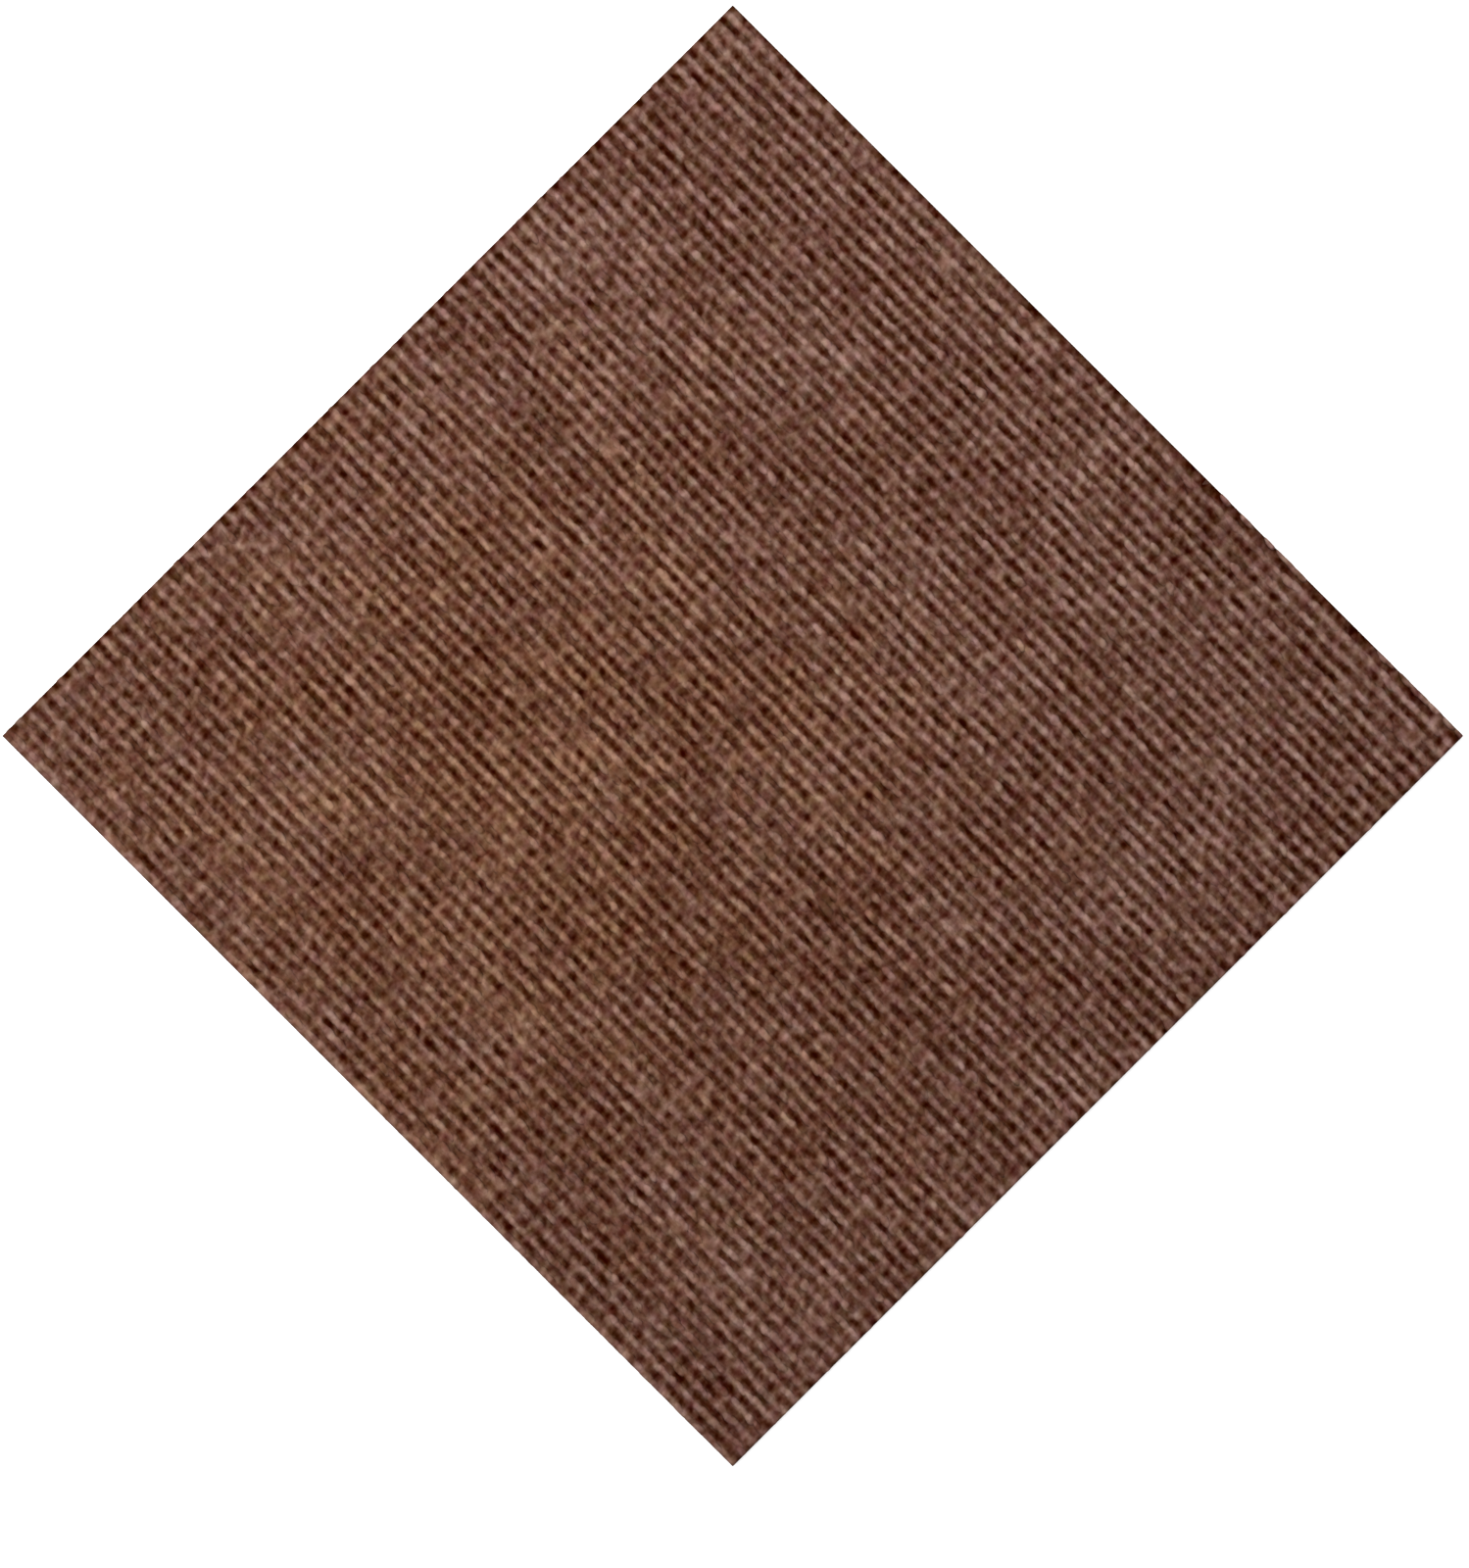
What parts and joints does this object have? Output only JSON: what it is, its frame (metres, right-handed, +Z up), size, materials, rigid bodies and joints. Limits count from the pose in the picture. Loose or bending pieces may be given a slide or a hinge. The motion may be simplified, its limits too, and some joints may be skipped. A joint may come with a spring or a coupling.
{
  "type": "carpet tile",
  "caption": "Square carpet tile with a ribbed brown loop-pile face on a flat heavy backing slab, for laying edge to edge on a level floor.",
  "frame": {"origin": "centre of the tile's underside", "axes": "+Z up through the thickness, from backing to pile; the ribs run along Y and follow one another along X; the first full rib lies along the +X edge"},
  "size_m": [0.5, 0.5, 0.007],
  "materials": {
    "pile": "heathered brown loop pile of bulky synthetic yarn, matt",
    "backing": "matt dark grey filled bitumen or vinyl slab, plain cut edges"
  },
  "bodies": {
    "root": {"loop_pile": "pile", "backing": "backing"}
  },
  "joints": []
}
